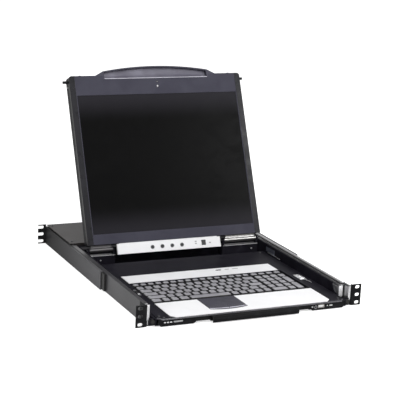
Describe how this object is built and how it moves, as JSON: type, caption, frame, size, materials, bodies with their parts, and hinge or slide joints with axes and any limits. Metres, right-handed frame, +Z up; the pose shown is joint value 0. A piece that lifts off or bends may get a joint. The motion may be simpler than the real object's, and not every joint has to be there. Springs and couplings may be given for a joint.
{
  "type": "rackmount LCD console drawer",
  "caption": "Rack console drawer on telescoping slides with keyboard, touchpad and a fold-up LCD display, shown raised and leaning back.",
  "frame": {"origin": "centre of the front slot pattern, on the front plane of the mounting ears", "axes": "+X to the right when facing the front, +Y into the rack, +Z up"},
  "size_m": [0.4826, 0.6067, 0.4046],
  "materials": {
    "black_steel": "semi-gloss black powder coat",
    "cover_grey": "satin brownish-grey paint",
    "slate_paint": "satin dark slate paint",
    "zinc": "bright zinc plate",
    "barrel_metal": "polished steel",
    "nylon": "black nylon",
    "rubber": "black rubber",
    "white_plastic": "matt white",
    "key_plastic": "matt mid grey",
    "key_pan": "matt black",
    "touchpad_plastic": "matt grey",
    "bezel_plastic": "satin slate blue-grey",
    "trim_plastic": "satin grey",
    "handle_plastic": "satin blue-grey",
    "screen_glass": "glossy black screen",
    "button_plastic": "black",
    "connector_metal": "nickel plate",
    "inlet_plastic": "black",
    "circuit_board": "green solder mask",
    "supply_steel": "galvanised",
    "pin_steel": "ground steel"
  },
  "bodies": {
    "chassis": {"chassis_tray": "black_steel", "top_cover": "cover_grey", "rear_panel": "black_steel", "left_ear": "black_steel", "right_ear": "black_steel", "left_outer_slide": "zinc", "right_outer_slide": "zinc", "bracket_guides": "nylon", "power_supply": "supply_steel", "controller_board": "circuit_board", "power_inlet": "inlet_plastic", "rear_ports": "connector_metal", "chassis_screws": "black_steel"},
    "drawer": {"drawer_tray": "slate_paint", "front_fascia": "slate_paint", "front_handle": "black_steel", "keyboard_deck": "slate_paint", "palm_rest": "white_plastic", "keyboard_strip": "white_plastic", "keyboard_base": "key_pan", "touchpad": "touchpad_plastic", "left_inner_slide": "zinc", "right_inner_slide": "zinc", "left_hinge_box": "slate_paint", "right_hinge_box": "slate_paint", "hinge_pins": "pin_steel", "usb_port": "connector_metal", "drawer_rear_cover": "slate_paint", "deck_screws": "slate_paint", "front_bumpers": "rubber"},
    "display": {"display_back": "bezel_plastic", "display_bezel": "bezel_plastic", "lcd_panel": "screen_glass", "side_trims": "trim_plastic", "display_handle": "handle_plastic", "latch_hooks": "zinc", "left_hinge_barrel": "barrel_metal", "right_hinge_barrel": "barrel_metal", "control_strip": "white_plastic"},
    "power_switch_body": {"power_switch": "inlet_plastic"},
    "left_rear_bracket_body": {"left_rear_bracket": "black_steel"},
    "right_rear_bracket_body": {"right_rear_bracket": "black_steel"},
    "left_middle_slide_body": {"left_middle_slide": "zinc"},
    "right_middle_slide_body": {"right_middle_slide": "zinc"},
    "touchpad_left_button_body": {"touchpad_left_button": "touchpad_plastic"},
    "touchpad_right_button_body": {"touchpad_right_button": "touchpad_plastic"},
    "reset_button_body": {"reset_button": "button_plastic"},
    "left_release_catch_body": {"left_release_catch": "zinc"},
    "right_release_catch_body": {"right_release_catch": "zinc"},
    "function_keys_body": {"function_keys": "key_plastic"},
    "typing_keys_body": {"typing_keys": "key_plastic"},
    "modifier_keys_body": {"modifier_keys": "key_plastic"},
    "space_bar_body": {"space_bar": "key_plastic"},
    "number_pad_keys_body": {"number_pad_keys": "key_plastic"},
    "menu_button_1_body": {"menu_button_1": "button_plastic"},
    "menu_button_2_body": {"menu_button_2": "button_plastic"},
    "menu_button_3_body": {"menu_button_3": "button_plastic"},
    "menu_button_4_body": {"menu_button_4": "button_plastic"},
    "display_power_button_body": {"display_power_button": "button_plastic"}
  },
  "joints": [
    {"name": "drawer_slide", "type": "slide", "parent": "chassis", "child": "drawer", "axis": [0, -1, 0], "range_m": [0, 0.4]},
    {"name": "left_middle_slide_run", "type": "slide", "parent": "chassis", "child": "left_middle_slide_body", "axis": [0, -1, 0], "range_m": [0, 0.2]},
    {"name": "left_rear_bracket_run", "type": "slide", "parent": "chassis", "child": "left_rear_bracket_body", "axis": [0, 1, 0], "range_m": [-0.05, 0.2]},
    {"name": "right_middle_slide_run", "type": "slide", "parent": "chassis", "child": "right_middle_slide_body", "axis": [0, -1, 0], "range_m": [0, 0.2]},
    {"name": "right_rear_bracket_run", "type": "slide", "parent": "chassis", "child": "right_rear_bracket_body", "axis": [0, 1, 0], "range_m": [-0.05, 0.2]},
    {"name": "display_tilt", "type": "hinge", "parent": "drawer", "child": "display", "pos_m": [0, 0.379, 0.01617], "axis": [1, 0, 0], "range_deg": [-6, 114]},
    {"name": "power_rocker", "type": "hinge", "parent": "chassis", "child": "power_switch_body", "pos_m": [-0.13, 0.578, -0.00122], "axis": [0, 0, 1], "range_deg": [-8, 8]},
    {"name": "function_keys_press", "type": "slide", "parent": "drawer", "child": "function_keys_body", "axis": [0, 0, -1], "range_m": [0, 0.002], "stiffness_N_per_m": 800, "springref_m": -0.001},
    {"name": "typing_keys_press", "type": "slide", "parent": "drawer", "child": "typing_keys_body", "axis": [0, 0, -1], "range_m": [0, 0.002], "stiffness_N_per_m": 800, "springref_m": -0.001},
    {"name": "modifier_keys_press", "type": "slide", "parent": "drawer", "child": "modifier_keys_body", "axis": [0, 0, -1], "range_m": [0, 0.002], "stiffness_N_per_m": 800, "springref_m": -0.001},
    {"name": "space_bar_press", "type": "slide", "parent": "drawer", "child": "space_bar_body", "axis": [0, 0, -1], "range_m": [0, 0.002], "stiffness_N_per_m": 800, "springref_m": -0.001},
    {"name": "number_pad_keys_press", "type": "slide", "parent": "drawer", "child": "number_pad_keys_body", "axis": [0, 0, -1], "range_m": [0, 0.002], "stiffness_N_per_m": 800, "springref_m": -0.001},
    {"name": "touchpad_left_press", "type": "slide", "parent": "drawer", "child": "touchpad_left_button_body", "axis": [0, 0, -1], "range_m": [0, 0.0005], "stiffness_N_per_m": 1500, "springref_m": -0.0003},
    {"name": "left_catch_slide", "type": "slide", "parent": "drawer", "child": "left_release_catch_body", "axis": [0, -1, 0], "range_m": [0, 0.005], "stiffness_N_per_m": 600, "springref_m": -0.001},
    {"name": "touchpad_right_press", "type": "slide", "parent": "drawer", "child": "touchpad_right_button_body", "axis": [0, 0, -1], "range_m": [0, 0.0005], "stiffness_N_per_m": 1500, "springref_m": -0.0003},
    {"name": "right_catch_slide", "type": "slide", "parent": "drawer", "child": "right_release_catch_body", "axis": [0, -1, 0], "range_m": [0, 0.005], "stiffness_N_per_m": 600, "springref_m": -0.001},
    {"name": "reset_press", "type": "slide", "parent": "drawer", "child": "reset_button_body", "axis": [0, 1, 0], "range_m": [0, 0.0008], "stiffness_N_per_m": 1500, "springref_m": -0.0003},
    {"name": "menu_1_press", "type": "slide", "parent": "display", "child": "menu_button_1_body", "axis": [0, 0.9135, -0.4067], "range_m": [0, 0.0006], "stiffness_N_per_m": 1500, "springref_m": -0.0003},
    {"name": "menu_2_press", "type": "slide", "parent": "display", "child": "menu_button_2_body", "axis": [0, 0.9135, -0.4067], "range_m": [0, 0.0006], "stiffness_N_per_m": 1500, "springref_m": -0.0003},
    {"name": "menu_3_press", "type": "slide", "parent": "display", "child": "menu_button_3_body", "axis": [0, 0.9135, -0.4067], "range_m": [0, 0.0006], "stiffness_N_per_m": 1500, "springref_m": -0.0003},
    {"name": "menu_4_press", "type": "slide", "parent": "display", "child": "menu_button_4_body", "axis": [0, 0.9135, -0.4067], "range_m": [0, 0.0006], "stiffness_N_per_m": 1500, "springref_m": -0.0003},
    {"name": "display_power_press", "type": "slide", "parent": "display", "child": "display_power_button_body", "axis": [0, 0.9135, -0.4067], "range_m": [0, 0.0006], "stiffness_N_per_m": 1500, "springref_m": -0.0003}
  ],
  "couplings": [
    {"joint": "left_middle_slide_run", "follows": "drawer_slide", "ratio": 0.5},
    {"joint": "right_middle_slide_run", "follows": "drawer_slide", "ratio": 0.5}
  ]
}
